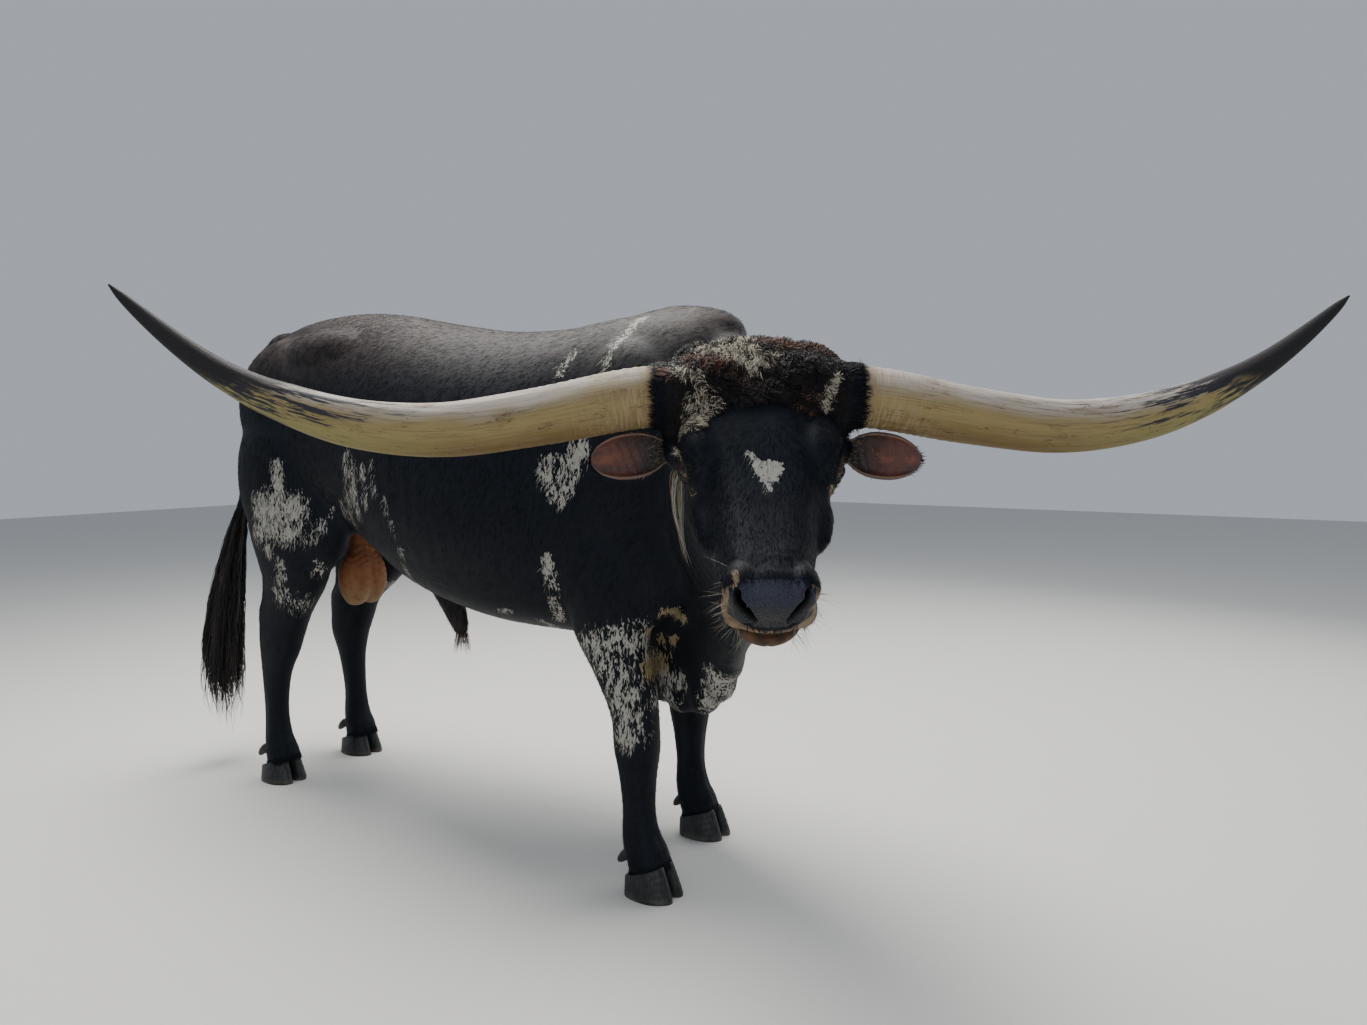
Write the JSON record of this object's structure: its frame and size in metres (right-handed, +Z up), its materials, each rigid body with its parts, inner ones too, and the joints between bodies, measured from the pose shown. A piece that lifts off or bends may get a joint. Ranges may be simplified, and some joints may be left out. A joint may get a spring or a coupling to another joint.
{
  "type": "texas longhorn bull",
  "caption": "Life-size standing longhorn bull, black with white and tan patches, its head turned to its right, with wide horns that dip and rise.",
  "frame": {"origin": "on the floor, under the middle of the figure's bounding box", "axes": "+X along the body from tail to head, +Y to the bull's left, +Z up"},
  "size_m": [3.3052, 1.6624, 1.5245],
  "materials": {
    "hide": "short glossy black coat with white, grey and tan patches",
    "hair": "long coarse hair",
    "bare_skin": "bare tan skin",
    "horn": "satin horn, cream at the root, olive beneath and slate at the tip",
    "hoof": "dull dark horn",
    "eye": "wet and glossy"
  },
  "bodies": {
    "root": {"torso": "hide", "neck": "hide", "head": "hide", "dewlap": "hide", "tail": "hide", "ear_right": "hide", "ear_left": "hide", "fore_right_upper": "hide", "fore_right_lower": "hide", "fore_left_upper": "hide", "fore_left_lower": "hide", "hind_right_upper": "hide", "hind_right_lower": "hide", "hind_left_upper": "hide", "hind_left_lower": "hide", "scrotum": "bare_skin", "sheath": "hide", "tail_switch": "hair", "fore_right_claw_inner": "hoof", "fore_right_claw_outer": "hoof", "fore_right_dewclaw_inner": "hoof", "fore_right_dewclaw_outer": "hoof", "fore_left_claw_inner": "hoof", "fore_left_claw_outer": "hoof", "fore_left_dewclaw_inner": "hoof", "fore_left_dewclaw_outer": "hoof", "hind_right_claw_inner": "hoof", "hind_right_claw_outer": "hoof", "hind_right_dewclaw_inner": "hoof", "hind_right_dewclaw_outer": "hoof", "hind_left_claw_inner": "hoof", "hind_left_claw_outer": "hoof", "hind_left_dewclaw_inner": "hoof", "hind_left_dewclaw_outer": "hoof", "horn_right": "horn", "horn_left": "horn", "eye_right": "eye", "eye_left": "eye"}
  },
  "joints": []
}
